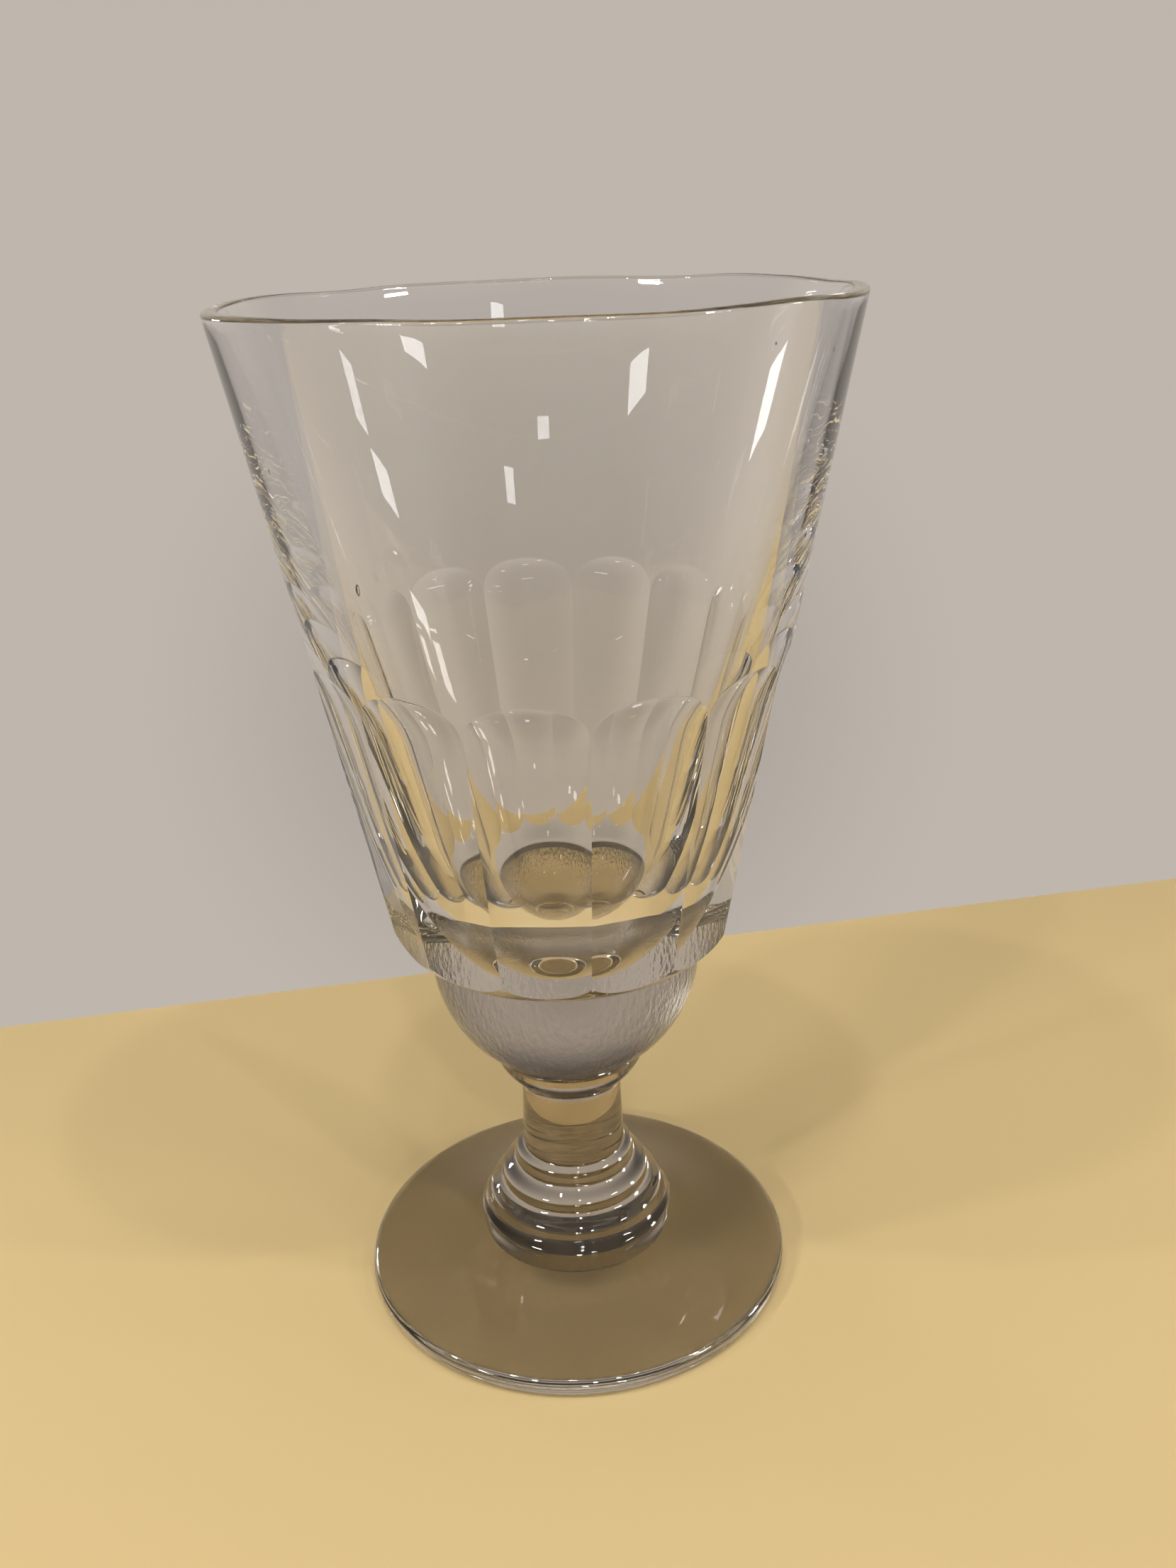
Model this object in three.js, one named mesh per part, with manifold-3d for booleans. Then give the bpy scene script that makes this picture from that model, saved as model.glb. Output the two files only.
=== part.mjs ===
// A heavy clear glass goblet on a short stem, cut with flat panels round the lower bowl.
// It is six gathers of glass welded hot into one object: the blown and panel-cut bowl,
// the solid knop under it, the merese (a thin collar wafer), the drawn stem, the ringed
// bell shoulder at the stem's lower end, and the disc foot.
// Units are millimetres, +Z is up, and the origin is the centre of the foot's underside.
// One ridge between two panels faces -Y. Neighbouring gathers meet on level faces, apart
// from the bowl, whose underside bulges down into a dish in the top of the knop.

import * as THREE from "three";
import { mergeVertices } from "three/addons/utils/BufferGeometryUtils.js";
import Module from "manifold-3d";

const wasm = await Module();
wasm.setup();

// ---------- driving dimensions ----------

const HEIGHT = 165;              // foot's underside to rim
const TURN_STEPS = 52;           // steps round every turned surface, 4 to a panel

const RIM_RADIUS = 45.9;         // outside, at the rim
const WALL_SLOPE = 0.187;        // outside radius gained per millimetre of height
const RIM_WALL = 2.3;            // wall thickness at the rim
const LIP_HEIGHT = 0.6;          // height of the small round on the rim's edges

const PANEL_COUNT = 13;          // flat cuts round the lower bowl
const PANEL_LOW = 60;            // height where a cutter starts, under the bowl
const ARCH_TOP = 116;            // height of the top of each panel's arch
const ARCH_RISE = 8;             // height of the arch, from its shoulders to its top
const ARCH_POWER = 4;            // how square the arch is: 2 is an ellipse
const ARCH_STEPS = 8;
const CUTTER_MARGIN = 10;        // how far a cutter reaches outside the widest part

const BASE_TURN = 72;            // height where the cone turns in to the base
const BASE_Z = 65;               // edge of the weld between bowl and knop
const BASE_RADIUS = 22;          // where the rounded lower edge meets the weld
const WELD_DISH = 6;             // depth of the dish in the top of the knop
const WELD_STEPS = 6;

const CAVITY_FLOOR = 64.75;      // lowest point of the inside
const CAVITY_FLAT = 3.5;         // radius of the floor's flat middle
const CAVITY_TURN_Z = 90.4;      // height where the wall starts to round in to the floor
const CAVITY_TURN_RADIUS = 23.2;
const CAVITY_MID = 31.2;         // sets the slope of the wall above that height
const CAVITY_DROP = 19;          // how far the wall's slope carries on into the round
const CAVITY_REACH = 4;          // how far the flat floor carries on into the round

const KNOP_RADIUS = 22.2;        // round solid knop under the bowl
const KNOP_CENTRE_Z = 62;
const KNOP_END_Z = 43.4;         // bottom of the knop, and top of the merese

const MERESE_RADIUS = 12.4;
const MERESE_BAND = 1.6;         // height of its upright edge
const MERESE_ROUND = 0.8;        // radius of its upper edge
const MERESE_END_Z = 36;         // bottom of the merese, and top of the stem

const STEM_TOP_RADIUS = 8.5;
const STEM_END_RADIUS = 8.8;
const STEM_END_Z = 24.5;         // bottom of the stem, and top of the shoulder

const SHOULDER_RADIUS = 16.85;   // widest part of the bell
const SHOULDER_WIDE_Z = 11.4;    // height of the widest part
const SHOULDER_END_RADIUS = 16.45;
const SHOULDER_END_Z = 7.5;      // bottom of the bell, and top of the foot
const RING_DEPTH = 0.23;         // the low turned rings round the bell
const RING_PITCH = 3.87;
const RING_PHASE = 0.11;

const FOOT_RADIUS = 37;
const FOOT_EDGE = 3.4;           // thickness at the rounded edge

// ---------- helpers ----------

const mm = (x, y) => new THREE.Vector2(x, y);

// Points on an ellipse's arc, about a centre, between two angles in degrees.
function arc(cx, cy, rx, ry, from, to, steps) {
  const points = [];
  for (let i = 0; i <= steps; i += 1) {
    const a = THREE.MathUtils.degToRad(from + ((to - from) * i) / steps);
    points.push(mm(cx + rx * Math.cos(a), cy + ry * Math.sin(a)));
  }
  return points;
}

// Points on a cubic curve from one outline point to another.
function curve(a, b, c, d, steps) {
  return new THREE.CubicBezierCurve(a, b, c, d).getPoints(steps);
}

// Drops points that repeat the one before them, so that a turned outline has no empty step.
function tidy(points) {
  return points.filter((p, i) => i === 0 || p.distanceTo(points[i - 1]) > 0.01);
}

// A solid of revolution about Z. The outline runs upward from axis to axis.
function turned(points, steps) {
  const geometry = new THREE.LatheGeometry(tidy(points), steps);
  geometry.rotateX(Math.PI / 2);
  geometry.rotateZ(-Math.PI / 2);
  return geometry;
}

function toSolid(geometry) {
  const bare = geometry.clone();
  bare.deleteAttribute("normal");
  bare.deleteAttribute("uv");
  const welded = mergeVertices(bare, 1e-4);
  return new wasm.Manifold(new wasm.Mesh({
    numProp: 3,
    vertProperties: new Float32Array(welded.attributes.position.array),
    triVerts: new Uint32Array(welded.index.array),
  }));
}

function toGeometry(solid) {
  const mesh = solid.getMesh();
  const geometry = new THREE.BufferGeometry();
  geometry.setAttribute("position", new THREE.BufferAttribute(mesh.vertProperties, 3));
  geometry.setIndex(new THREE.BufferAttribute(mesh.triVerts, 1));
  geometry.computeVertexNormals();
  return geometry;
}

// ---------- bowl ----------

// Outside radius of the uncut cone.
function coneRadius(z) {
  return RIM_RADIUS - WALL_SLOPE * (HEIGHT - z);
}

// The dished weld between bowl and knop, from its edge at the knop's surface to the axis.
function weldDish() {
  const rise = BASE_Z - KNOP_CENTRE_Z;
  const edge = Math.sqrt(KNOP_RADIUS * KNOP_RADIUS - rise * rise);
  const points = [];
  for (let i = 0; i <= WELD_STEPS; i += 1) {
    const share = 1 - i / WELD_STEPS;
    points.push(mm(edge * share, BASE_Z - WELD_DISH * (1 - share * share)));
  }
  return points;
}

// The uncut blank: dished underside, round base edge, straight cone and flat rim.
function bowlBlank() {
  const lip = HEIGHT - LIP_HEIGHT;
  const side = coneRadius(BASE_TURN) - BASE_RADIUS;
  const rim = coneRadius(lip) - LIP_HEIGHT;
  return turned([
    ...weldDish().reverse(),
    ...arc(BASE_RADIUS, BASE_TURN, side, BASE_TURN - BASE_Z, -90, 0, 8),
    ...arc(rim, lip, LIP_HEIGHT, LIP_HEIGHT, 0, 90, 3),
    mm(0, HEIGHT),
  ], TURN_STEPS);
}

// The inside: a deep rounded floor, a tapering wall, and the rim's inner edge.
function bowlCavity() {
  const lip = HEIGHT - LIP_HEIGHT;
  const inner = coneRadius(lip) - RIM_WALL;
  const mouth = HEIGHT + LIP_HEIGHT;
  const slope = (CAVITY_MID - CAVITY_TURN_RADIUS) / (ARCH_TOP - CAVITY_TURN_Z);
  const upper = (inner - CAVITY_MID) / (lip - ARCH_TOP);
  const third = (lip - CAVITY_TURN_Z) / 3;
  const floor = curve(
    mm(CAVITY_FLAT, CAVITY_FLOOR),
    mm(CAVITY_FLAT + CAVITY_REACH, CAVITY_FLOOR),
    mm(CAVITY_TURN_RADIUS - slope * CAVITY_DROP, CAVITY_TURN_Z - CAVITY_DROP),
    mm(CAVITY_TURN_RADIUS, CAVITY_TURN_Z),
    12,
  );
  const wall = curve(
    mm(CAVITY_TURN_RADIUS, CAVITY_TURN_Z),
    mm(CAVITY_TURN_RADIUS + slope * third, CAVITY_TURN_Z + third),
    mm(inner - upper * third, lip - third),
    mm(inner, lip),
    8,
  );
  return turned([
    mm(0, CAVITY_FLOOR),
    ...floor,
    ...wall,
    mm(inner + LIP_HEIGHT, mouth),
    mm(0, mouth),
  ], TURN_STEPS);
}

// Everything outside one flat panel: a block whose inner face follows the wall at the
// panel's depth, and curves out through the wall at the top as the grinding wheel leaves.
function panelCutter() {
  const shrink = Math.cos(Math.PI / PANEL_COUNT);
  const flat = (z) => coneRadius(z) * shrink;
  const rampStart = ARCH_TOP - ARCH_RISE;
  const depth = coneRadius(ARCH_TOP) * (1 - shrink);
  const far = RIM_RADIUS + CUTTER_MARGIN;
  const outline = new THREE.Shape();
  outline.moveTo(flat(PANEL_LOW), PANEL_LOW);
  outline.lineTo(flat(rampStart), rampStart);
  let z = rampStart;
  for (let i = 1; i <= ARCH_STEPS + 2; i += 1) {
    const t = i / ARCH_STEPS;
    z = rampStart + ARCH_RISE * t;
    outline.lineTo(flat(z) + depth * t ** ARCH_POWER, z);
  }
  outline.lineTo(far, z);
  outline.lineTo(far, PANEL_LOW);
  const width = RIM_RADIUS;
  const cutter = new THREE.ExtrudeGeometry(outline, { depth: width, bevelEnabled: false });
  cutter.translate(0, 0, -width / 2);
  cutter.rotateX(Math.PI / 2);
  return cutter;
}

function makeBowl() {
  let solid = toSolid(bowlBlank()).subtract(toSolid(bowlCavity()));
  for (let i = 0; i < PANEL_COUNT; i += 1) {
    const cutter = panelCutter();
    cutter.rotateZ(-Math.PI / 2 + ((i + 0.5) * 2 * Math.PI) / PANEL_COUNT);
    solid = solid.subtract(toSolid(cutter));
  }
  return toGeometry(solid);
}

// ---------- turned gathers below the bowl ----------

function makeKnop() {
  const degrees = (z) => THREE.MathUtils.radToDeg(Math.asin((z - KNOP_CENTRE_Z) / KNOP_RADIUS));
  return turned([
    mm(0, KNOP_END_Z),
    mm(MERESE_RADIUS - MERESE_ROUND, KNOP_END_Z),
    ...arc(0, KNOP_CENTRE_Z, KNOP_RADIUS, KNOP_RADIUS, degrees(KNOP_END_Z), degrees(BASE_Z), 14),
    ...weldDish(),
  ], TURN_STEPS);
}

function makeMerese() {
  const band = KNOP_END_Z - MERESE_BAND;
  const round = MERESE_ROUND;
  return turned([
    mm(0, MERESE_END_Z),
    ...curve(
      mm(STEM_TOP_RADIUS, MERESE_END_Z),
      mm(STEM_TOP_RADIUS + 0.4, MERESE_END_Z + 2),
      mm(MERESE_RADIUS - 0.8, band - 2.4),
      mm(MERESE_RADIUS, band),
      6,
    ),
    ...arc(MERESE_RADIUS - round, KNOP_END_Z - round, round, round, 0, 90, 3),
    mm(0, KNOP_END_Z),
  ], TURN_STEPS);
}

function makeStem() {
  return turned([
    mm(0, STEM_END_Z),
    mm(STEM_END_RADIUS, STEM_END_Z),
    mm(STEM_TOP_RADIUS, MERESE_END_Z),
    mm(0, MERESE_END_Z),
  ], TURN_STEPS);
}

// Moves a point of the bell's outline out or in, to make low rings that die away at both ends.
function ringed(point) {
  const rise = point.y - SHOULDER_WIDE_Z;
  const fade = Math.min(rise, 1) * Math.min(STEM_END_Z - point.y, 1);
  const turn = 2 * Math.PI * (rise / RING_PITCH + RING_PHASE);
  return mm(point.x + RING_DEPTH * fade * Math.cos(turn), point.y);
}

function makeShoulder() {
  const bell = curve(
    mm(SHOULDER_RADIUS, SHOULDER_WIDE_Z),
    mm(SHOULDER_RADIUS - 2.8, SHOULDER_WIDE_Z + 4.8),
    mm(STEM_END_RADIUS + 0.67, STEM_END_Z - 2.1),
    mm(STEM_END_RADIUS, STEM_END_Z),
    28,
  );
  return turned([
    mm(0, SHOULDER_END_Z),
    ...curve(
      mm(SHOULDER_END_RADIUS, SHOULDER_END_Z),
      mm(SHOULDER_RADIUS - 0.3, SHOULDER_END_Z + 1.6),
      mm(SHOULDER_RADIUS, SHOULDER_WIDE_Z - 1),
      mm(SHOULDER_RADIUS, SHOULDER_WIDE_Z),
      4,
    ),
    ...bell.map(ringed),
    mm(0, STEM_END_Z),
  ], TURN_STEPS);
}

function makeFoot() {
  const half = FOOT_EDGE / 2;
  return turned([
    mm(0, 0),
    ...arc(FOOT_RADIUS - half, half, half, half, -90, 90, 8),
    ...curve(
      mm(FOOT_RADIUS - half, FOOT_EDGE),
      mm(FOOT_RADIUS - 10, FOOT_EDGE + 1),
      mm(SHOULDER_END_RADIUS + 4, SHOULDER_END_Z - 0.7),
      mm(SHOULDER_END_RADIUS, SHOULDER_END_Z),
      10,
    ),
    mm(0, SHOULDER_END_Z),
  ], TURN_STEPS);
}

// ---------- assembly ----------

const goblet = new THREE.Group();

function addGather(name, geometry, color) {
  const glass = new THREE.MeshStandardMaterial({ color, roughness: 0.03, metalness: 0 });
  const mesh = new THREE.Mesh(geometry, glass);
  mesh.name = name;
  goblet.add(mesh);
}

addGather("foot", makeFoot(), 0xd9dcd2);
addGather("shoulder", makeShoulder(), 0xdadcd4);
addGather("stem", makeStem(), 0xdbddd5);
addGather("merese", makeMerese(), 0xdcded6);
addGather("knop", makeKnop(), 0xdddfd8);
addGather("bowl", makeBowl(), 0xe0e2dc);

export default goblet;
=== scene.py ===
"""Looks for a panel-cut glass goblet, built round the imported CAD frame.

Each gather of glass (foot, shoulder, stem, merese, knop, bowl) gets a fine closed mesh that
stands for its CAD node. Two neighbouring gathers share the face where they are welded hot.
Glass meets glass there, so those faces let light straight through and all six read as one
clear object. Lengths are in millimetres, and turn to metres when a mesh or a lamp is made.
"""

import math

import bmesh
import bpy
import numpy as np
from mathutils import Matrix, Vector, noise


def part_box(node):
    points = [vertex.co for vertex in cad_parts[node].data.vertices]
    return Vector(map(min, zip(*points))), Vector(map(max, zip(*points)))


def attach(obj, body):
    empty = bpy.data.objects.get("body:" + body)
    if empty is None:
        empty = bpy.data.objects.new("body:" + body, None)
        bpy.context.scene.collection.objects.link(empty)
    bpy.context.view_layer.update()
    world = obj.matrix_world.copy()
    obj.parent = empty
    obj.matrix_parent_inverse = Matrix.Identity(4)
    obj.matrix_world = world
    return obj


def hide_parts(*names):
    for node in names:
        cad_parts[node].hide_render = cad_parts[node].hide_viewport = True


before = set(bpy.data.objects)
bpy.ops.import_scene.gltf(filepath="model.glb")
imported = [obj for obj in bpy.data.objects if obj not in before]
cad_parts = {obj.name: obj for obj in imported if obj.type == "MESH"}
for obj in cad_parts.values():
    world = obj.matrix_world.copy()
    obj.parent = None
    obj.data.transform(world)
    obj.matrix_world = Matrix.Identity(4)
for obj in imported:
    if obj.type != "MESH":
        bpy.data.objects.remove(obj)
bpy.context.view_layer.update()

# ---------- sizes, from the frame where it has them ----------

MM = 0.001


def top_of(node):
    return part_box(node)[1].z / MM


def bottom_of(node):
    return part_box(node)[0].z / MM


def radius_of(node):
    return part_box(node)[1].x / MM


HEIGHT = top_of("bowl")
RIM_RADIUS = 45.9          # outside, where the cone would reach the full height
WALL_SLOPE = 0.187         # outside radius gained per millimetre of height
RIM_WALL = 2.3             # wall thickness at the rim
LIP_HEIGHT = 0.6           # height of the small round on the rim's edges
LIP_ROUND = 0.8            # how far that round reaches in from the outside
LIP = HEIGHT - LIP_HEIGHT  # where it starts

PANEL_COUNT = 13           # flat cuts round the lower bowl
ARCH_TOP = 116.0           # height of the top of each panel's arch
ARCH_RISE = 8.0            # height of the arch, from its shoulders to its top
ARCH_POWER = 4.0           # how square the arch is: 2 is an ellipse
BASE_TURN = 72.0           # height where the cone turns in to the base
BASE_Z = top_of("knop")    # edge of the weld between bowl and knop
BASE_RADIUS = 22.0         # where the rounded lower edge meets the weld
WELD_DISH = 6.0            # how far the bowl's underside bulges down into the knop

CAVITY_FLOOR = 64.75       # lowest point of the inside
CAVITY_FLAT = 3.5          # radius of the floor's flat middle
CAVITY_TURN_Z = 90.4       # height where the wall starts to round in to the floor
CAVITY_TURN_RADIUS = 23.2
CAVITY_MID = 31.2          # inside radius level with the arches' tops
CAVITY_DROP = 19.0         # how far the wall's slope carries on into the round
CAVITY_REACH = 4.0         # how far the flat floor carries on into the round

KNOP_RADIUS = radius_of("knop")
KNOP_CENTRE_Z = 62.0
KNOP_END_Z = bottom_of("knop")
KNOP_TOP_ANGLE = math.asin((BASE_Z - KNOP_CENTRE_Z) / KNOP_RADIUS)
WELD_RADIUS = KNOP_RADIUS * math.cos(KNOP_TOP_ANGLE)

MERESE_RADIUS = radius_of("merese")
MERESE_BAND = 1.6          # height of its upright edge
MERESE_ROUND = 0.8         # radius of its upper edge
MERESE_END_Z = bottom_of("merese")

STEM_TOP_RADIUS = 8.5
STEM_END_RADIUS = radius_of("stem")
STEM_END_Z = bottom_of("stem")

SHOULDER_RADIUS = radius_of("shoulder")
SHOULDER_WIDE_Z = 11.4     # height of the widest part
SHOULDER_END_RADIUS = 16.45
SHOULDER_END_Z = bottom_of("shoulder")
RING_DEPTH = 0.23          # the low turned rings round the bell
RING_PITCH = 3.87
RING_PHASE = 0.11

FOOT_RADIUS = radius_of("foot")
FOOT_EDGE = 3.4            # thickness at the rounded edge

# each bubble's angle from the ridge that faces -Y, its height, and its half width and half height
SEEDS = [
    (-46.4, 131.2, 0.35, 0.85),
    (-71.5, 144.1, 0.22, 0.45),
    (49.7, 158.1, 0.2, 0.3),
    (32.0, 160.0, 0.15, 0.2),
]

# how each curve leaves its first point and reaches its last: steps outwards and up from each
FOOT_RISE = ((-8.3, 1.0), (4.0, -0.7))
SHOULDER_FLANK = ((0.1, 1.6), (0.0, -1.0))
SHOULDER_BELL = ((-2.8, 4.8), (0.67, -2.1))
MERESE_FLARE = ((0.4, 2.0), (-0.8, -2.4))
RIM_OUTSIDE = ((0.0, 0.3), (0.5, -0.03))
RIM_INSIDE = ((-0.45, -0.02), (0.02, 0.36))

# ---------- unevenness of the hand blown wall ----------

OUTER_WAVE = 0.05          # depth of the outside's upright streaks
INNER_WAVE = 0.10          # and of the inside's
# layers of streaks: how quickly each changes round the axis, its seed and its strength
OUTER_STREAKS = [(3.0, 1.0, 1.0), (12.0, 7.0, 0.03)]
INNER_STREAKS = [(3.0, 3.0, 1.0), (10.0, 5.0, 0.03)]
STREAK_LENGTH = 130.0      # height over which a streak changes
RIM_DIP = 0.4              # how much the rim's height wanders
RIM_DIP_REACH = 14.0       # how far below the rim that is felt
RIM_DIP_RATE = 2.5
RIM_DIP_SEED = 11.0

# ---------- mesh steps ----------

TURN_STEPS = 13 * 20       # columns round each turned gather
PANEL_STEPS = 22           # columns across one panel, beside the extra ones at its ridges
RIDGE_COLUMNS = (0.0, 0.06, 0.16, 0.32)   # how far from a ridge those extra columns stand
RIDGE_RADIUS = 33.0        # the radius at which those distances are true
WELD_STEPS = 13            # rows across the dished weld
BASE_STEPS = 14            # rows up the base edge
HALVINGS = 40              # steps of the search for each arch
SHARP_ANGLE = math.radians(15)            # edges that turn more than this are creases
GLASS, WELD = 0, 1         # material slots of each piece

# ---------- looks ----------

BOWL_TINT = (0.985, 0.985, 0.99)
LOW_TINT_AND_SHADE = (0.88, 0.86, 0.83)             # painted shade: the thick glass below the arches drawn darker
LOW_SHADE_ENDS = (100.0, 135.0)            # heights between which that painted shade clears
# painted shade: the knop's and the stem's glass drawn much darker and warmer than the bowl's
KNOP_TINT_AND_SHADE = (0.59, 0.54, 0.50)
STEM_TINT_AND_SHADE = (0.67, 0.59, 0.49)
# painted shade: the foot's glass drawn a little darker and warmer than the bowl's
FOOT_TINT_AND_SHADE = (0.90, 0.88, 0.85)
GLASS_IOR = 1.52
TINT_DRIFT = 0.985         # how far the tint dips in patches
TINT_SCALE = 18
SMUDGE = 0.01              # roughness of the most smudged patches
SMUDGE_SCALE = 45
SMUDGE_ENDS = (0.52, 0.75)
RIPPLE = 0.1               # strength of the shallow ripples, and their height
RIPPLE_HEIGHT = 0.1
RIPPLE_SCALE = 90
RIPPLE_STRETCH = (1, 1, 0.35)
GRAIN = 0.8                # strength of the knop's fine upright grain, and its height
GRAIN_HEIGHT = 0.5
GRAIN_SCALE = 1100
GRAIN_STRETCH = (1, 1, 0.45)

# ---------- stage ----------

TABLE_COLOR = (0.56, 0.41, 0.19)
TABLE_ROUGHNESS = 0.55
TABLE_REACH = 900          # how far the top runs to each side and to the front
TABLE_BACK = 107.5         # where its back edge passes behind the glass
TABLE_ASKEW = 0.162        # slope of that edge
TABLE_THICK = 30
TABLE_GAP = 0.05           # the glass stands this far above the paint

WALL_COLOR = (0.52, 0.47, 0.42)
ROOM_COLOR = (0.07, 0.07, 0.072)
WALL_SIDES = (0.3, 0.75)   # from the room's tone to the wall's, by how far back a direction points
WALL_FADE = (0.1, 0.5)     # from the wall's tone to the ceiling's, by how far up it points
CEILING_TONE = 0.15
SHADOW_DROP = math.radians(18.5)          # how far below level the soft shadow on the wall lies
SHADOW_SIZE = (0.06, 0.30)                # from its dark middle to its edge
SHADOW_TONE = 0.76

CAMERA_TURN = math.radians(-7.4)          # the camera's direction, from the ridge that faces -Y
CAMERA_BACK = 1.268        # its distance and height, against the goblet's height
CAMERA_UP = 1.0665
CAMERA_PITCH = math.radians(-22.21)
CAMERA_YAW = math.radians(-1.30)
CAMERA_ROLL = math.radians(-2.06)
CAMERA_LENS = 32.6

AIM_HEIGHT = 100           # every lamp faces this point on the axis
OVERHEAD_HEIGHT = 1400
OVERHEAD_SIZE = 1200
OVERHEAD_POWER = 6.0
# name, azimuth from the camera's side to its right, elevation, distance, width and height, watts
LAMPS = [
    ("lamp", -48, 21, 1200, (200, 44), 4.8),
    ("window_high", 17, 16.3, 1400, (110, 30), 1.8),
    ("window_low", 0, 6, 1400, (120, 30), 1.6),
    ("right_window", 92, 9.1, 1200, (130, 46), 1.0),
    ("right_window_low", 92, 1.8, 1200, (130, 84), 1.6),
    ("right_lamp", 61, 22, 1200, (200, 40), 2.0),
    ("left_window", -132, 4.2, 1200, (150, 90), 2.0),
]
# azimuth and elevation of the small lamps high in the room
SPOTS = [(-30, 48), (22, 55), (66, 42), (-76, 40), (5, 38), (-52, 60), (45, 66), (-12, 72)]
SPOT_DISTANCE = 1200
SPOT_SIZE = (44, 44)
SPOT_POWER = 1.8

# ---------- outline helpers ----------


def arc(cx, cy, rx, ry, start, end, steps):
    """Points on an ellipse's arc between two angles in degrees."""
    angles = np.radians(np.linspace(start, end, steps + 1))
    return np.stack([cx + rx * np.cos(angles), cy + ry * np.sin(angles)], -1)


def curve(a, b, c, d, steps):
    """Points on a cubic curve between a and d."""
    t = np.linspace(0, 1, steps + 1)[:, None]
    a, b, c, d = (np.array(p, float) for p in (a, b, c, d))
    return (1 - t) ** 3 * a + 3 * (1 - t) ** 2 * t * b + 3 * (1 - t) * t * t * c + t ** 3 * d


def bow(a, d, ends, steps):
    """Points on a curve between a and d, which leaves a and reaches d by the given steps."""
    a, d, leave, reach = (np.array(p, float) for p in (a, d, *ends))
    return curve(a, a + leave, d + reach, d, steps)


def line(a, b, steps):
    return np.linspace(np.array(a, float), np.array(b, float), steps + 1)


def joined(*parts):
    """One outline from several, without the points that repeat."""
    points = np.concatenate([np.atleast_2d(np.array(p, float)) for p in parts])
    keep = np.ones(len(points), bool)
    keep[1:] = np.linalg.norm(np.diff(points, axis=0), axis=1) > 1e-4
    return points[keep]


def dished(r):
    """Points at those radii on the dished face where the bowl sits in the knop."""
    r = np.asarray(r, float)
    return np.stack([r, BASE_Z - WELD_DISH * (1 - (r / WELD_RADIUS) ** 2)], -1)


def smooth(x, start, end):
    """0 before start, 1 after end, with a soft step between."""
    t = np.clip((x - start) / (end - start), 0, 1)
    return t * t * (3 - 2 * t)


# ---------- mesh helpers ----------


def grid_mesh(name, r, z, angles, weld_rows):
    """A closed mesh from rows of points round the axis, rows by columns, with a pole at each end.

    weld_rows holds the rows whose band of faces, towards the next row, lies on a weld.
    """
    rows, columns = r.shape
    x = r * np.sin(angles)[None, :]
    y = -r * np.cos(angles)[None, :]
    inner = np.stack([x, y, z], -1)[1:-1].reshape(-1, 3)
    poles = np.array([[0, 0, z[0, 0]], [0, 0, z[-1, 0]]])
    points = np.concatenate([inner, poles]) * MM
    first, last = len(inner), len(inner) + 1
    i = np.arange(columns)
    j = (i + 1) % columns
    faces, slots = [], []
    for row in range(rows - 1):
        low, high = (row - 1) * columns, row * columns
        if row == 0:
            band = [(first, b, a) for a, b in zip(i + high, j + high)]
        elif row == rows - 2:
            band = [(a, b, last) for a, b in zip(i + low, j + low)]
        else:
            band = list(zip(i + low, j + low, j + high, i + high))
        faces += [tuple(int(v) for v in f) for f in band]
        slots += [WELD if row in weld_rows else GLASS] * columns
    mesh = bpy.data.meshes.new(name)
    mesh.from_pydata(points.tolist(), [], faces)
    mesh.polygons.foreach_set("material_index", slots)
    mesh.polygons.foreach_set("use_smooth", [True] * len(faces))
    mesh.update()
    mesh.set_sharp_from_angle(angle=SHARP_ANGLE)
    piece = bpy.data.objects.new(name, mesh)
    bpy.context.scene.collection.objects.link(piece)
    return piece


def turned(name, outline, welds, dish_from=None):
    """A solid of revolution.

    welds lists the heights and radii of its level weld faces. dish_from is the first row of
    the dished weld, where there is one.
    """
    r = np.repeat(outline[:, :1], TURN_STEPS, 1)
    z = np.repeat(outline[:, 1:], TURN_STEPS, 1)
    angles = np.arange(TURN_STEPS) * 2 * math.pi / TURN_STEPS
    on_weld = set()
    for row in range(len(outline) - 1):
        ends = outline[row:row + 2]
        for height, radius in welds:
            if np.all(abs(ends[:, 1] - height) < 1e-3) and ends[:, 0].max() < radius + 1e-3:
                on_weld.add(row)
        if dish_from is not None and row >= dish_from:
            on_weld.add(row)
    return grid_mesh(name, r, z, angles, on_weld)


# ---------- foot, stem and knop ----------


def make_foot():
    half = FOOT_EDGE / 2
    rise = bow((FOOT_RADIUS - half, FOOT_EDGE), (SHOULDER_END_RADIUS, SHOULDER_END_Z), FOOT_RISE, 40)
    outline = joined(
        (0, 0), line((4, 0), (FOOT_RADIUS - half, 0), 12),
        arc(FOOT_RADIUS - half, half, half, half, -90, 90, 16), rise,
        line((SHOULDER_END_RADIUS - 2, SHOULDER_END_Z), (2, SHOULDER_END_Z), 4), (0, SHOULDER_END_Z),
    )
    return turned("foot_disc", outline, [(SHOULDER_END_Z, SHOULDER_END_RADIUS)])


def make_shoulder():
    low, wide = (SHOULDER_END_RADIUS, SHOULDER_END_Z), (SHOULDER_RADIUS, SHOULDER_WIDE_Z)
    flank = bow(low, wide, SHOULDER_FLANK, 14)
    bell = bow(wide, (STEM_END_RADIUS, STEM_END_Z), SHOULDER_BELL, 90)
    rise = bell[:, 1] - SHOULDER_WIDE_Z
    fade = np.minimum(rise, 1) * np.minimum(STEM_END_Z - bell[:, 1], 1)
    bell[:, 0] += RING_DEPTH * fade * np.cos(2 * math.pi * (rise / RING_PITCH + RING_PHASE))
    outline = joined(
        (0, SHOULDER_END_Z), line((2, SHOULDER_END_Z), low, 4), flank, bell,
        line((STEM_END_RADIUS - 1, STEM_END_Z), (1, STEM_END_Z), 3), (0, STEM_END_Z),
    )
    return turned("stem_shoulder", outline,
                  [(SHOULDER_END_Z, SHOULDER_END_RADIUS), (STEM_END_Z, STEM_END_RADIUS)])


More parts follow.
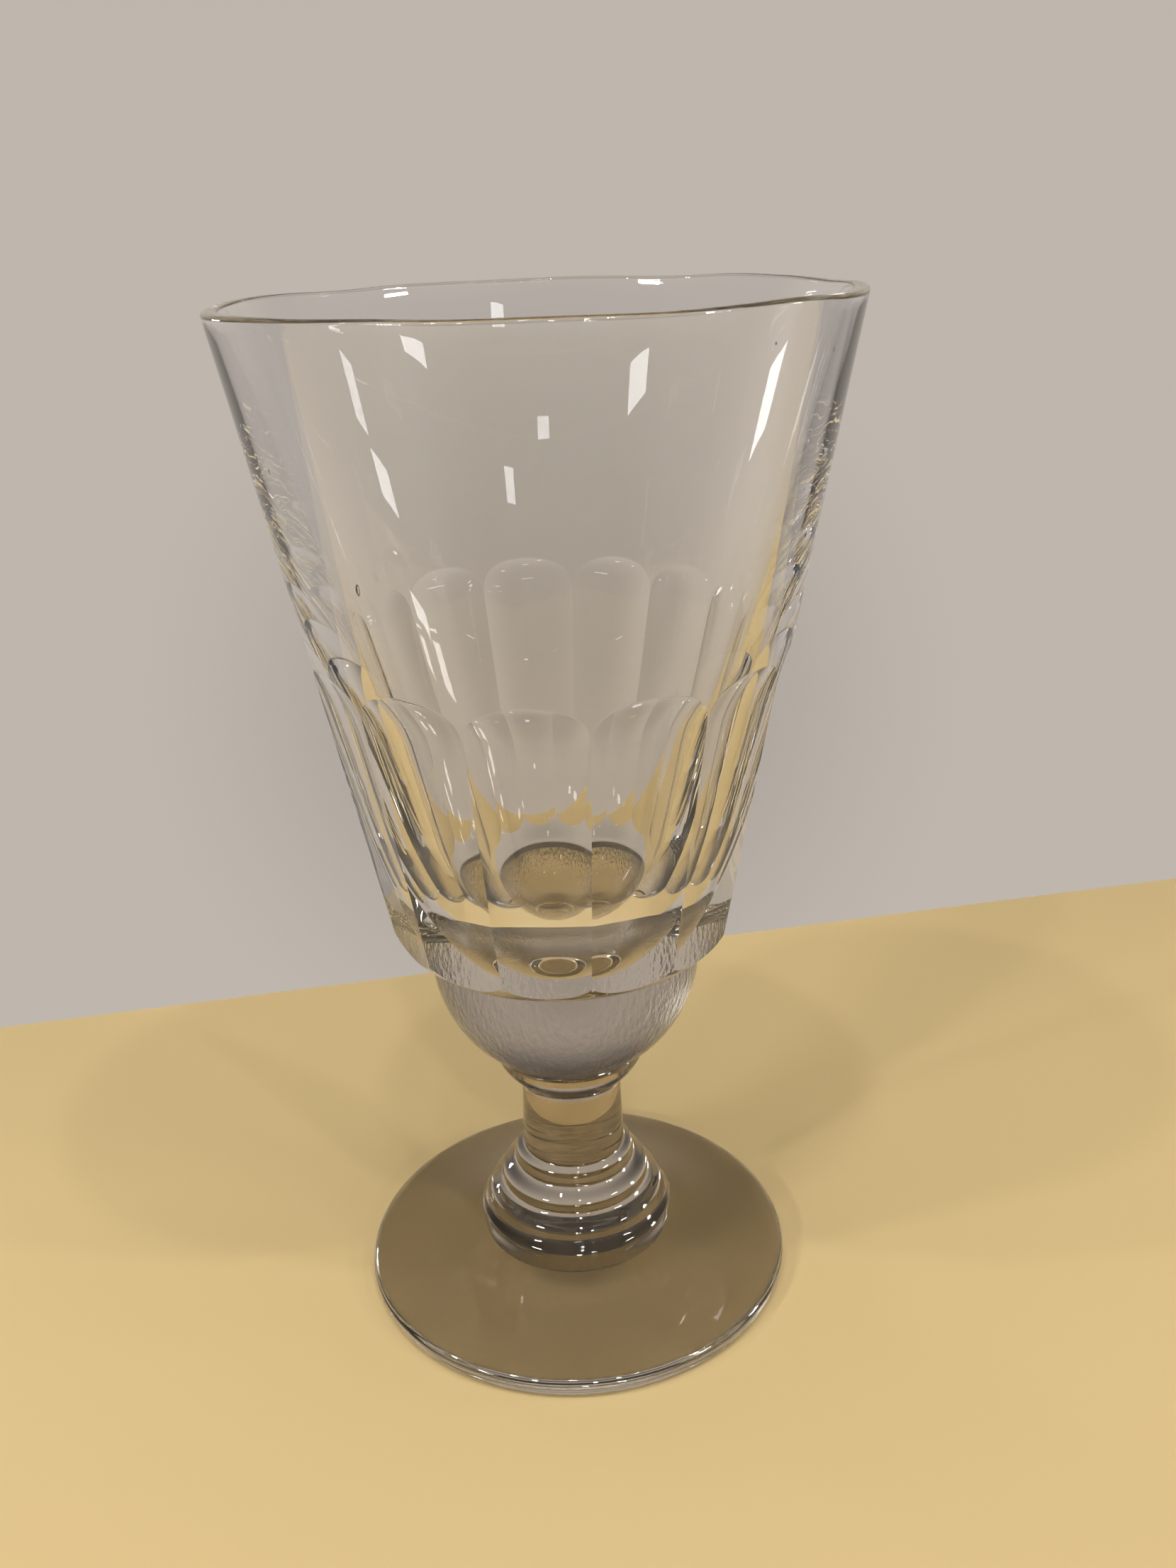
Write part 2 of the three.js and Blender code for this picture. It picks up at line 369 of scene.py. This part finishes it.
def make_stem():
    outline = joined(
        (0, STEM_END_Z), line((1, STEM_END_Z), (STEM_END_RADIUS, STEM_END_Z), 3),
        line((STEM_END_RADIUS, STEM_END_Z), (STEM_TOP_RADIUS, MERESE_END_Z), 20),
        line((STEM_TOP_RADIUS - 1, MERESE_END_Z), (1, MERESE_END_Z), 3), (0, MERESE_END_Z),
    )
    return turned("stem_shaft", outline,
                  [(STEM_END_Z, STEM_END_RADIUS), (MERESE_END_Z, STEM_TOP_RADIUS)])


def make_merese():
    band = KNOP_END_Z - MERESE_BAND
    weld = MERESE_RADIUS - MERESE_ROUND
    outline = joined(
        (0, MERESE_END_Z), line((1, MERESE_END_Z), (STEM_TOP_RADIUS, MERESE_END_Z), 3),
        bow((STEM_TOP_RADIUS, MERESE_END_Z), (MERESE_RADIUS, band), MERESE_FLARE, 24),
        arc(weld, KNOP_END_Z - MERESE_ROUND, MERESE_ROUND, MERESE_ROUND, 0, 90, 10),
        line((MERESE_RADIUS - 1.5, KNOP_END_Z), (1, KNOP_END_Z), 4), (0, KNOP_END_Z),
    )
    return turned("stem_merese", outline, [(MERESE_END_Z, STEM_TOP_RADIUS), (KNOP_END_Z, weld)])


def make_knop():
    bottom = math.degrees(math.asin((KNOP_END_Z - KNOP_CENTRE_Z) / KNOP_RADIUS))
    top = math.degrees(KNOP_TOP_ANGLE)
    weld = MERESE_RADIUS - MERESE_ROUND
    outline = joined(
        (0, KNOP_END_Z), line((1, KNOP_END_Z), (weld, KNOP_END_Z), 4),
        arc(0, KNOP_CENTRE_Z, KNOP_RADIUS, KNOP_RADIUS, bottom, top, 60),
        dished(np.linspace(WELD_RADIUS, 0, WELD_STEPS + 1)[1:]),
    )
    return turned("bowl_knop", outline, [(KNOP_END_Z, weld)], dish_from=len(outline) - WELD_STEPS - 1)


# ---------- bowl ----------

PANEL_HALF = math.pi / PANEL_COUNT        # half the angle that one panel covers


def cone_radius(z):
    return RIM_RADIUS - WALL_SLOPE * (HEIGHT - z)


def panel_columns():
    """Angles of the columns round the bowl, close together beside each ridge.

    The second result is each column's angle from the middle of its panel.
    """
    near = np.array(RIDGE_COLUMNS) / RIDGE_RADIUS
    inside = np.linspace(-PANEL_HALF, PANEL_HALF, PANEL_STEPS + 1)[1:-1]
    offsets = np.concatenate([-PANEL_HALF + near, inside, PANEL_HALF - near[1:][::-1]])
    offsets = np.unique(np.round(offsets, 7))
    angles = np.concatenate([PANEL_HALF + offsets + i * 2 * PANEL_HALF for i in range(PANEL_COUNT)])
    return angles, np.tile(offsets, PANEL_COUNT)


def panel_radius(z, offset):
    """Radius of the cut face: flat below the arch, and running out through the cone in it."""
    depth = cone_radius(ARCH_TOP) * (1 - math.cos(PANEL_HALF))
    t = np.clip((z - (ARCH_TOP - ARCH_RISE)) / ARCH_RISE, 0, None)
    return (cone_radius(z) * math.cos(PANEL_HALF) + depth * t ** ARCH_POWER) / np.cos(offset)


def arch_heights(offset):
    """Height where each column leaves its panel for the plain cone, found by halving."""
    low = np.full(len(offset), ARCH_TOP - ARCH_RISE)
    high = np.full(len(offset), ARCH_TOP + 2.0)
    for _ in range(HALVINGS):
        mid = (low + high) / 2
        in_cut = panel_radius(mid, offset) < cone_radius(mid)
        low, high = np.where(in_cut, mid, low), np.where(in_cut, high, mid)
    return low


def base_edge(turn):
    """The round under the panels, from the weld at 0 to the cone at a quarter turn."""
    reach = cone_radius(BASE_TURN) - BASE_RADIUS
    return (BASE_RADIUS + reach * np.sin(turn),
            BASE_TURN - (BASE_TURN - BASE_Z) * np.maximum(np.cos(turn), 0))


def base_turns(offset):
    """How far round the base edge each column goes before it meets its panel."""
    turns = np.linspace(0, math.pi / 2, 201)
    r, z = base_edge(turns)
    outside = r[:, None] > cone_radius(z)[:, None] * math.cos(PANEL_HALF) / np.cos(offset)[None, :]
    return np.where(outside.any(0), turns[outside.argmax(0)], turns[-1])


def cut_rows(offset):
    """Rows up the base edge and the panels, to the arches."""
    turn = base_turns(offset)
    rows = [base_edge(turn * i / BASE_STEPS) for i in range(BASE_STEPS + 1)]
    start, end = rows[-1][1], arch_heights(offset)
    for share in [*np.linspace(0, 1, 40)[1:-1], 0.985, 0.993, 1.0]:
        z = start + (end - start) * share
        rows.append((panel_radius(z, offset), z))
    return rows


def cone_rows(offset):
    """Rows up the plain cone, from the arches to the lip."""
    start = arch_heights(offset)
    heights = [start + (LIP - start) * share for share in [0.002, 0.006, *np.linspace(0, 1, 36)[1:]]]
    return [(cone_radius(z), z) for z in heights]


def crown_rows():
    """The round over the rim, from the outside to the inside."""
    outer, inner = cone_radius(LIP), cone_radius(LIP) - RIM_WALL
    return joined(
        bow((outer, LIP), (outer - LIP_ROUND, HEIGHT - 0.03), RIM_OUTSIDE, 8),
        (outer - RIM_WALL / 2, HEIGHT),
        bow((inner + LIP_ROUND - 0.1, HEIGHT - 0.04), (inner, LIP), RIM_INSIDE, 8),
    )[1:]


def cavity_rows():
    """Down the inside of the wall, round to the floor and in to the axis."""
    inner = cone_radius(LIP) - RIM_WALL
    slope = (CAVITY_MID - CAVITY_TURN_RADIUS) / (ARCH_TOP - CAVITY_TURN_Z)
    upper = (inner - CAVITY_MID) / (LIP - ARCH_TOP)
    third = (LIP - CAVITY_TURN_Z) / 3
    turn = (CAVITY_TURN_RADIUS, CAVITY_TURN_Z)
    wall = curve((inner, LIP), (inner - upper * third, LIP - third),
                 (CAVITY_TURN_RADIUS + slope * third, CAVITY_TURN_Z + third), turn, 56)
    floor = curve(turn, (CAVITY_TURN_RADIUS - slope * CAVITY_DROP, CAVITY_TURN_Z - CAVITY_DROP),
                  (CAVITY_FLAT + CAVITY_REACH, CAVITY_FLOOR), (CAVITY_FLAT, CAVITY_FLOOR), 60)
    middle = line((CAVITY_FLAT, CAVITY_FLOOR), (0, CAVITY_FLOOR), 7)
    return [*wall[1:], *floor[1:], *middle[1:]]


def streaks(angles, z, layers):
    """Upright waves, as a blown wall has: quick round the axis, slow up it."""
    total = np.zeros(z.shape)
    for rate, seed, strength in layers:
        x, y = rate * np.cos(angles), rate * np.sin(angles)
        up = z / STREAK_LENGTH + seed
        total += strength * np.array([[noise.noise(Vector(p)) for p in zip(x, y, row)] for row in up])
    return total


def rim_wander(angles):
    """How far the rim's height strays, round the axis."""
    x, y = RIM_DIP_RATE * np.cos(angles), RIM_DIP_RATE * np.sin(angles)
    return np.array([noise.noise(Vector((a, b, RIM_DIP_SEED))) for a, b in zip(x, y)])


def make_bowl():
    angles, offset = panel_columns()
    underside = dished(np.linspace(0, WELD_RADIUS, WELD_STEPS + 1))
    cut, cone, crown = cut_rows(offset), cone_rows(offset), crown_rows()
    rows = [*underside, *cut, *cone, *crown, *cavity_rows()]
    r = np.array([np.broadcast_to(row[0], angles.shape) for row in rows])
    z = np.array([np.broadcast_to(row[1], angles.shape) for row in rows])
    index = np.arange(len(rows))[:, None]
    cone_start = len(underside) + len(cut)
    lip_row = cone_start + len(cone) + len(crown) - 1
    inside = index > lip_row
    below_lip = smooth(z, LIP + 6, LIP)
    outer = smooth(z, ARCH_TOP - ARCH_RISE, ARCH_TOP + 6) * below_lip * (index >= cone_start) * ~inside
    inner = smooth(z, CAVITY_FLOOR + 4, CAVITY_TURN_Z) * below_lip * inside
    r = r - OUTER_WAVE * outer * (0.5 + streaks(angles, z, OUTER_STREAKS))
    r = r + INNER_WAVE * inner * streaks(angles, z, INNER_STREAKS)
    z = z - RIM_DIP * smooth(z, LIP - RIM_DIP_REACH, LIP) * (0.5 + rim_wander(angles))
    cup = grid_mesh("bowl_cup", r, z, angles, set(range(WELD_STEPS)))
    add_seeds(cup)
    return cup


def add_seeds(cup):
    """Small bubbles caught in the wall. They are closed voids, so their faces point into them."""
    shell = bmesh.new()
    shell.from_mesh(cup.data)
    for angle, z, wide, tall in SEEDS:
        a, r = math.radians(angle), cone_radius(z) - RIM_WALL / 2
        centre = Vector((r * math.sin(a), -r * math.cos(a), z)) * MM
        place = Matrix.Translation(centre) @ Matrix.Diagonal((wide * MM, wide * MM, tall * MM, 1))
        made = bmesh.ops.create_icosphere(shell, subdivisions=2, radius=1, matrix=place)
        faces = list({face for v in made["verts"] for face in v.link_faces})
        bmesh.ops.reverse_faces(shell, faces=faces)
        for face in faces:
            face.smooth = True
    shell.to_mesh(cup.data)
    shell.free()


# ---------- materials ----------


def soft_step(tree, source, ends, low, high):
    """A node that goes smoothly from low to high while its source goes between the two ends."""
    n = tree.nodes.new("ShaderNodeMapRange")
    n.interpolation_type = "SMOOTHSTEP"
    for key, value in zip(("From Min", "From Max", "To Min", "To Max"), (*ends, low, high)):
        n.inputs[key].default_value = value
    tree.links.new(source, n.inputs["Value"])
    return n.outputs["Result"]


def glass_material(name, tint_and_shade, low_tint_and_shade=None, grain=None):
    """Clear old glass: a faint uneven tint, with painted shade where the tint given is dark and in the
    bowl low down, a smudged polish and shallow ripples.
    """
    m = bpy.data.materials.new(name)
    m.use_nodes = True
    tree = m.node_tree
    nodes, links = tree.nodes, tree.links
    p = nodes["Principled BSDF"]
    p.inputs["IOR"].default_value = GLASS_IOR
    p.inputs["Transmission Weight"].default_value = 1.0
    place = nodes.new("ShaderNodeTexCoord").outputs["Object"]

    def noise_at(scale, detail=2.0, stretch=(1, 1, 1)):
        spread = nodes.new("ShaderNodeMapping")
        spread.inputs["Scale"].default_value = stretch
        links.new(place, spread.inputs["Vector"])
        n = nodes.new("ShaderNodeTexNoise")
        n.inputs["Scale"].default_value = scale
        n.inputs["Detail"].default_value = detail
        links.new(spread.outputs[0], n.inputs["Vector"])
        return n.outputs["Fac"]

    def mixed(factor, a, b):
        n = nodes.new("ShaderNodeMix")
        n.data_type = "RGBA"
        links.new(factor, n.inputs["Factor"])
        for key, value in (("A", a), ("B", b)):
            if isinstance(value, tuple):
                n.inputs[key].default_value = (*value, 1)
            else:
                links.new(value, n.inputs[key])
        return n.outputs["Result"]

    def bumped(height, depth, strength, under=None):
        n = nodes.new("ShaderNodeBump")
        n.inputs["Distance"].default_value = depth * MM
        n.inputs["Strength"].default_value = strength
        links.new(height, n.inputs["Height"])
        if under:
            links.new(under, n.inputs["Normal"])
        return n.outputs[0]

    color = mixed(noise_at(TINT_SCALE), tuple(c * TINT_DRIFT for c in tint_and_shade), tint_and_shade)
    # painted shade: the bowl drawn darker low down, clearing upwards
    if low_tint_and_shade:
        split = nodes.new("ShaderNodeSeparateXYZ")
        links.new(place, split.inputs[0])
        low_shade_gone_above = soft_step(tree, split.outputs["Z"], [z * MM for z in LOW_SHADE_ENDS], 0, 1)
        color = mixed(low_shade_gone_above, low_tint_and_shade, color)
    links.new(color, p.inputs["Base Color"])
    links.new(soft_step(tree, noise_at(SMUDGE_SCALE, 4), SMUDGE_ENDS, 0.0, SMUDGE), p.inputs["Roughness"])
    fine = bumped(noise_at(GRAIN_SCALE, 3, GRAIN_STRETCH), GRAIN_HEIGHT, grain) if grain else None
    ripples = bumped(noise_at(RIPPLE_SCALE, 2, RIPPLE_STRETCH), RIPPLE_HEIGHT, RIPPLE, fine)
    links.new(ripples, p.inputs["Normal"])
    return m


def weld_material():
    """Glass against glass, which bends no light."""
    m = bpy.data.materials.new("glass_weld")
    m.use_nodes = True
    nodes = m.node_tree.nodes
    nodes.clear()
    clear = nodes.new("ShaderNodeBsdfTransparent")
    out = nodes.new("ShaderNodeOutputMaterial")
    m.node_tree.links.new(clear.outputs[0], out.inputs["Surface"])
    return m


def plain_material(name, color, roughness):
    m = bpy.data.materials.new(name)
    m.use_nodes = True
    p = m.node_tree.nodes["Principled BSDF"]
    p.inputs["Base Color"].default_value = (*color, 1)
    p.inputs["Roughness"].default_value = roughness
    return m


# ---------- stage ----------


def placed(right, back, up):
    """A point in metres, given from the camera's side: to its right, away from it, and up."""
    c, s = math.cos(CAMERA_TURN), math.sin(CAMERA_TURN)
    return Vector((c * right - s * back, s * right + c * back, up)) * MM


def make_table():
    """A pale table top. Its straight back edge passes behind the glass, a little askew."""
    corners = [(-TABLE_REACH, -TABLE_REACH), (TABLE_REACH, -TABLE_REACH),
               (TABLE_REACH, TABLE_BACK + TABLE_ASKEW * TABLE_REACH),
               (-TABLE_REACH, TABLE_BACK - TABLE_ASKEW * TABLE_REACH)]
    top = [placed(x, y, -TABLE_GAP) for x, y in corners]
    under = [p - Vector((0, 0, TABLE_THICK * MM)) for p in top]
    faces = [(0, 1, 2, 3), (7, 6, 5, 4)] + [(i, i + 4, (i + 1) % 4 + 4, (i + 1) % 4) for i in range(4)]
    mesh = bpy.data.meshes.new("table_top")
    mesh.from_pydata(top + under, [], faces)
    table = bpy.data.objects.new("table_top", mesh)
    bpy.context.scene.collection.objects.link(table)
    mesh.materials.append(plain_material("table_paint", TABLE_COLOR, TABLE_ROUGHNESS))


def make_world():
    """A pale wall behind the glass, a dimmer room on the camera's side and a dim ceiling."""
    world = bpy.data.worlds.new("room")
    bpy.context.scene.world = world
    world.use_nodes = True
    tree = world.node_tree
    nodes, links = tree.nodes, tree.links
    background = nodes["Background"]
    place = nodes.new("ShaderNodeTexCoord").outputs["Generated"]
    split = nodes.new("ShaderNodeSeparateXYZ")
    links.new(place, split.inputs[0])
    ramp = nodes.new("ShaderNodeValToRGB")
    links.new(soft_step(tree, split.outputs["Y"], WALL_SIDES, 0, 1), ramp.inputs["Fac"])
    ramp.color_ramp.elements[0].color = (*ROOM_COLOR, 1)
    ramp.color_ramp.elements[1].color = (*WALL_COLOR, 1)
    links.new(ramp.outputs["Color"], background.inputs["Color"])
    offset = nodes.new("ShaderNodeVectorMath")
    offset.operation = "DISTANCE"
    offset.inputs[1].default_value = placed(0, math.cos(SHADOW_DROP), -math.sin(SHADOW_DROP)) / MM
    links.new(place, offset.inputs[0])
    shadow = soft_step(tree, offset.outputs["Value"], SHADOW_SIZE, SHADOW_TONE, 1)
    height = soft_step(tree, split.outputs["Z"], WALL_FADE, 1, CEILING_TONE)
    light = nodes.new("ShaderNodeMath")
    light.operation = "MULTIPLY"
    links.new(shadow, light.inputs[0])
    links.new(height, light.inputs[1])
    links.new(light.outputs[0], background.inputs["Strength"])


def softbox(name, azimuth, elevation, distance, size, power):
    """A soft rectangular light that faces the glass."""
    a, e = math.radians(azimuth), math.radians(elevation)
    centre = placed(distance * math.sin(a) * math.cos(e), -distance * math.cos(a) * math.cos(e),
                    AIM_HEIGHT + distance * math.sin(e))
    light = bpy.data.lights.new(name, "AREA")
    light.shape = "RECTANGLE"
    light.size, light.size_y = size[0] * MM, size[1] * MM
    light.energy = power
    lamp = bpy.data.objects.new(name, light)
    lamp.location = centre
    lamp.rotation_mode = "QUATERNION"
    lamp.rotation_quaternion = (centre - Vector((0, 0, AIM_HEIGHT * MM))).to_track_quat("Z", "Y")
    bpy.context.scene.collection.objects.link(lamp)


def make_overhead():
    """A wide soft light over the table. It lights the table only, so that no glass mirrors it."""
    light = bpy.data.lights.new("overhead", "AREA")
    light.shape = "DISK"
    light.size = OVERHEAD_SIZE * MM
    light.energy = OVERHEAD_POWER
    lamp = bpy.data.objects.new("overhead", light)
    lamp.location = placed(0, 0, OVERHEAD_HEIGHT)
    lamp.visible_glossy = False
    lamp.visible_transmission = False
    bpy.context.scene.collection.objects.link(lamp)


def make_lights():
    make_overhead()
    for lamp in LAMPS:
        softbox(*lamp)
    for i, (azimuth, elevation) in enumerate(SPOTS):
        softbox("spot_%d" % (i + 1), azimuth, elevation, SPOT_DISTANCE, SPOT_SIZE, SPOT_POWER)


def make_camera():
    """The photograph's viewing angle: close, and looking down at the glass."""
    camera = bpy.data.cameras.new("camera")
    camera.sensor_fit = "AUTO"
    camera.sensor_width = 36
    camera.lens = CAMERA_LENS
    camera.clip_start = 0.01
    camera.clip_end = 50
    eye = bpy.data.objects.new("camera", camera)
    bpy.context.scene.collection.objects.link(eye)
    eye.location = placed(0, -CAMERA_BACK * HEIGHT, CAMERA_UP * HEIGHT)
    heading = Matrix.Rotation(CAMERA_TURN + CAMERA_YAW, 4, "Z")
    look = heading @ Matrix.Rotation(math.pi / 2 + CAMERA_PITCH, 4, "X")
    eye.rotation_mode = "QUATERNION"
    eye.rotation_quaternion = (look @ Matrix.Rotation(CAMERA_ROLL, 4, "Z")).to_quaternion()
    bpy.context.scene.camera = eye


def set_light_paths():
    """Enough bounces for thick glass, and plain colours."""
    scene = bpy.context.scene
    scene.cycles.max_bounces = 32
    scene.cycles.glossy_bounces = 16
    scene.cycles.transmission_bounces = 32
    scene.cycles.transparent_max_bounces = 32
    scene.view_settings.view_transform = "Standard"


# ---------- assembly ----------

# each slot's tint, which for the knop, stem and foot holds painted shade, and for some its painted shade
# low down or its grain
TINTS_AND_SHADES = {
    "bowl_glass": (BOWL_TINT, LOW_TINT_AND_SHADE),
    "knop_glass": (KNOP_TINT_AND_SHADE, None, GRAIN),
    "stem_glass": (STEM_TINT_AND_SHADE,),
    "foot_glass": (FOOT_TINT_AND_SHADE,),
}
MAKERS = {
    "foot": (make_foot, "foot_glass"),
    "shoulder": (make_shoulder, "stem_glass"),
    "stem": (make_stem, "stem_glass"),
    "merese": (make_merese, "stem_glass"),
    "knop": (make_knop, "knop_glass"),
    "bowl": (make_bowl, "bowl_glass"),
}

make_camera()
clear = weld_material()
for node, (make, slot_name) in MAKERS.items():
    piece = make()
    piece.data.materials.append(glass_material(slot_name + "_" + node, *TINTS_AND_SHADES[slot_name]))
    piece.data.materials.append(clear)
    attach(piece, "root")
    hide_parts(node)

make_table()
make_world()
make_lights()
set_light_paths()
